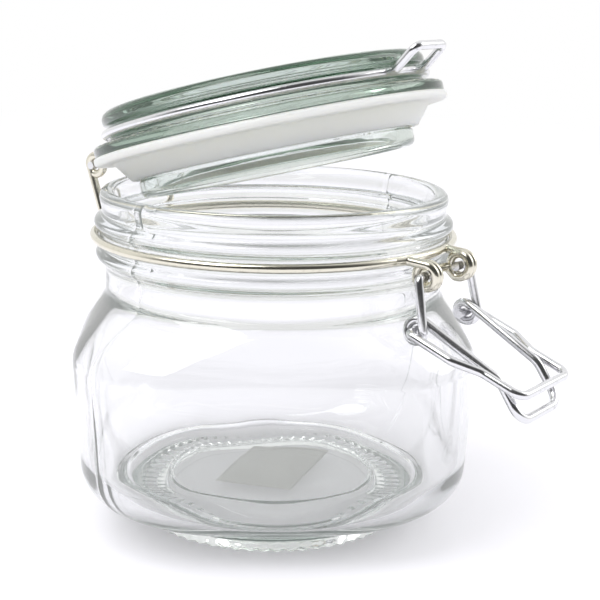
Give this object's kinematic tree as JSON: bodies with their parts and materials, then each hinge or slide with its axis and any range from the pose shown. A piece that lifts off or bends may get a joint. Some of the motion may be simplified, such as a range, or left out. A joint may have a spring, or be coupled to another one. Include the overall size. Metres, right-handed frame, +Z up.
{
  "type": "lidded glass canister",
  "caption": "Square glass storage jar with a round neck, a hinged glass lid with a rubber gasket, and a bent-wire clamp that holds it shut.",
  "frame": {"origin": "centre of the flat ring that the jar stands on, on the jar's upright axis", "axes": "+Z up along the jar's axis, -Y towards the clamp, +Y towards the hinge, +X to the right seen from the clamp"},
  "size_m": [0.1186, 0.1409, 0.128],
  "materials": {
    "jar_glass": "clear polished soda-lime glass",
    "lid_glass": "clear polished soda-lime glass, thicker and greener at the rim",
    "gasket_rubber": "translucent off-white silicone rubber",
    "zinc_wire": "bright zinc-plated steel wire",
    "bright_wire": "bright drawn steel wire",
    "label_paper": "blank matt paper"
  },
  "bodies": {
    "jar": {"jar": "jar_glass", "neck_wire": "zinc_wire", "base_label": "label_paper"},
    "lid": {"lid": "lid_glass", "gasket": "gasket_rubber", "lid_wire": "bright_wire"},
    "lever": {"lever": "bright_wire"},
    "bail": {"bail": "bright_wire"}
  },
  "joints": [
    {"name": "lid_hinge", "type": "hinge", "parent": "jar", "child": "lid", "pos_m": [0, 0.0518, 0.0905], "axis": [-1, 0, 0], "range_deg": [-15, 165]},
    {"name": "lever_hinge", "type": "hinge", "parent": "jar", "child": "lever", "pos_m": [0, -0.0519, 0.0727], "axis": [-1, 0, 0], "range_deg": [0, 80]},
    {"name": "bail_hinge", "type": "hinge", "parent": "lever", "child": "bail", "pos_m": [0, -0.0519, 0.06], "axis": [-1, 0, 0], "range_deg": [-4, 50]}
  ]
}
